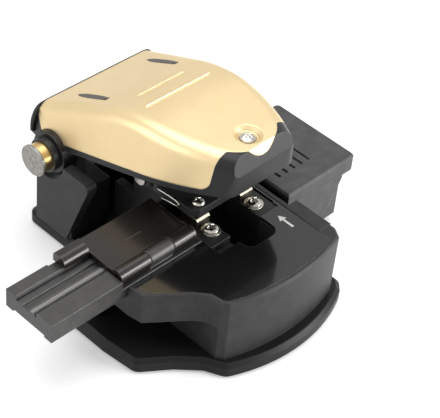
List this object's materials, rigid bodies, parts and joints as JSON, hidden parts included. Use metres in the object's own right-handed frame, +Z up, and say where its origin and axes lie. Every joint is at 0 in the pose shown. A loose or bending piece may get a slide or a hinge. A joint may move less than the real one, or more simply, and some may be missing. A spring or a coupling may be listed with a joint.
{
  "type": "fibre cleaver",
  "caption": "Bench fibre cleaver: sprung clamp lever over a blade carriage, a grooved fibre tray with a small lid, and a pull-off scrap bin.",
  "frame": {"origin": "on the anti-slip pad's underside, straight below the point where the blade crosses the fibre", "axes": "+X from the fibre tray to the scrap bin, +Y to the lever's hinge, +Z up"},
  "size_m": [0.1208, 0.096, 0.0592],
  "materials": {
    "gold": "satin",
    "black_shell": "satin",
    "black_metal": "satin",
    "gloss_deck": "gloss",
    "tray_black": "matte",
    "lid_brown": "gloss",
    "bin_black": "matte",
    "rubber": "matte",
    "steel": "polished",
    "brushed": "brushed",
    "brass": "satin",
    "arm_metal": "anodised"
  },
  "bodies": {
    "base": {"base_plate": "black_metal", "anti_slip_pad": "rubber", "bottom_screws": "steel", "housing": "black_metal", "deck_plate": "gloss_deck", "bin_rail": "black_metal", "hinge_ear_left": "black_metal", "hinge_ear_right": "black_metal", "rear_wall": "black_metal", "hinge_shaft": "steel", "hinge_hub_left": "black_metal", "hinge_hub_right": "black_metal", "hinge_bush_left": "brass", "hinge_bush_right": "brass", "end_disc_left": "steel", "end_disc_right": "steel", "lever_spring_left": "brushed", "lever_spring_right": "brushed", "guide_rail": "brushed", "pad_block_left": "tray_black", "pad_block_right": "tray_black", "lower_pad_left": "brushed", "lower_pad_right": "brushed", "pad_washers": "steel", "pad_screws": "steel", "fibre_tray": "tray_black", "tray_screws": "steel", "lid_pin": "steel", "bin_pins": "steel"},
    "lever": {"lever_cover": "gold", "lever_frame": "black_shell", "cover_screw": "steel", "arm_bracket": "arm_metal", "bracket_screws": "steel", "arm_pin": "steel"},
    "clamp_arm": {"clamp_arm": "arm_metal", "upper_pad_left": "rubber", "upper_pad_right": "rubber", "arm_screws": "steel", "arm_springs": "brushed"},
    "anvil": {"anvil": "brushed"},
    "carriage": {"slider": "arm_metal", "carriage_block": "arm_metal", "height_screws": "steel", "blade_holder": "brushed", "blade_axle": "brushed"},
    "blade": {"blade_wheel": "brushed"},
    "tray_lid": {"fixture_lid": "lid_brown", "lid_tab": "lid_brown", "lid_magnet": "steel", "lid_pad": "rubber"},
    "bin": {"bin_box": "bin_black", "bin_front_panel": "bin_black"},
    "bin_lid": {"bin_lid": "bin_black"}
  },
  "joints": [
    {"name": "lever_hinge", "type": "hinge", "parent": "base", "child": "lever", "pos_m": [0, 0.0455, 0.032], "axis": [-1, 0, 0], "range_deg": [-3, 55], "stiffness_Nm_per_rad": 0.15, "springref_deg": 3.44},
    {"name": "arm_tilt", "type": "hinge", "parent": "lever", "child": "clamp_arm", "pos_m": [0, 0.018, 0.0343], "axis": [-1, 0, 0], "range_deg": [0, 6], "stiffness_Nm_per_rad": 0.4, "springref_deg": -5.73},
    {"name": "anvil_slide", "type": "slide", "parent": "clamp_arm", "child": "anvil", "axis": [0, 0, 1], "range_m": [0, 0.0008], "stiffness_N_per_m": 300, "springref_m": -0.0006},
    {"name": "carriage_slide", "type": "slide", "parent": "base", "child": "carriage", "axis": [0, 1, 0], "range_m": [-0.022, 0.004]},
    {"name": "blade_turn", "type": "hinge", "parent": "carriage", "child": "blade", "pos_m": [0, 0.014, 0.0216], "axis": [1, 0, 0], "continuous": true},
    {"name": "tray_lid_hinge", "type": "hinge", "parent": "base", "child": "tray_lid", "pos_m": [-0.03, -0.0052, 0.0299], "axis": [1, 0, 0], "range_deg": [0, 40]},
    {"name": "bin_pull", "type": "slide", "parent": "base", "child": "bin", "axis": [1, 0, 0], "range_m": [0, 0.035]},
    {"name": "bin_lid_slide", "type": "slide", "parent": "bin", "child": "bin_lid", "axis": [1, 0, 0], "range_m": [0, 0.02]}
  ]
}
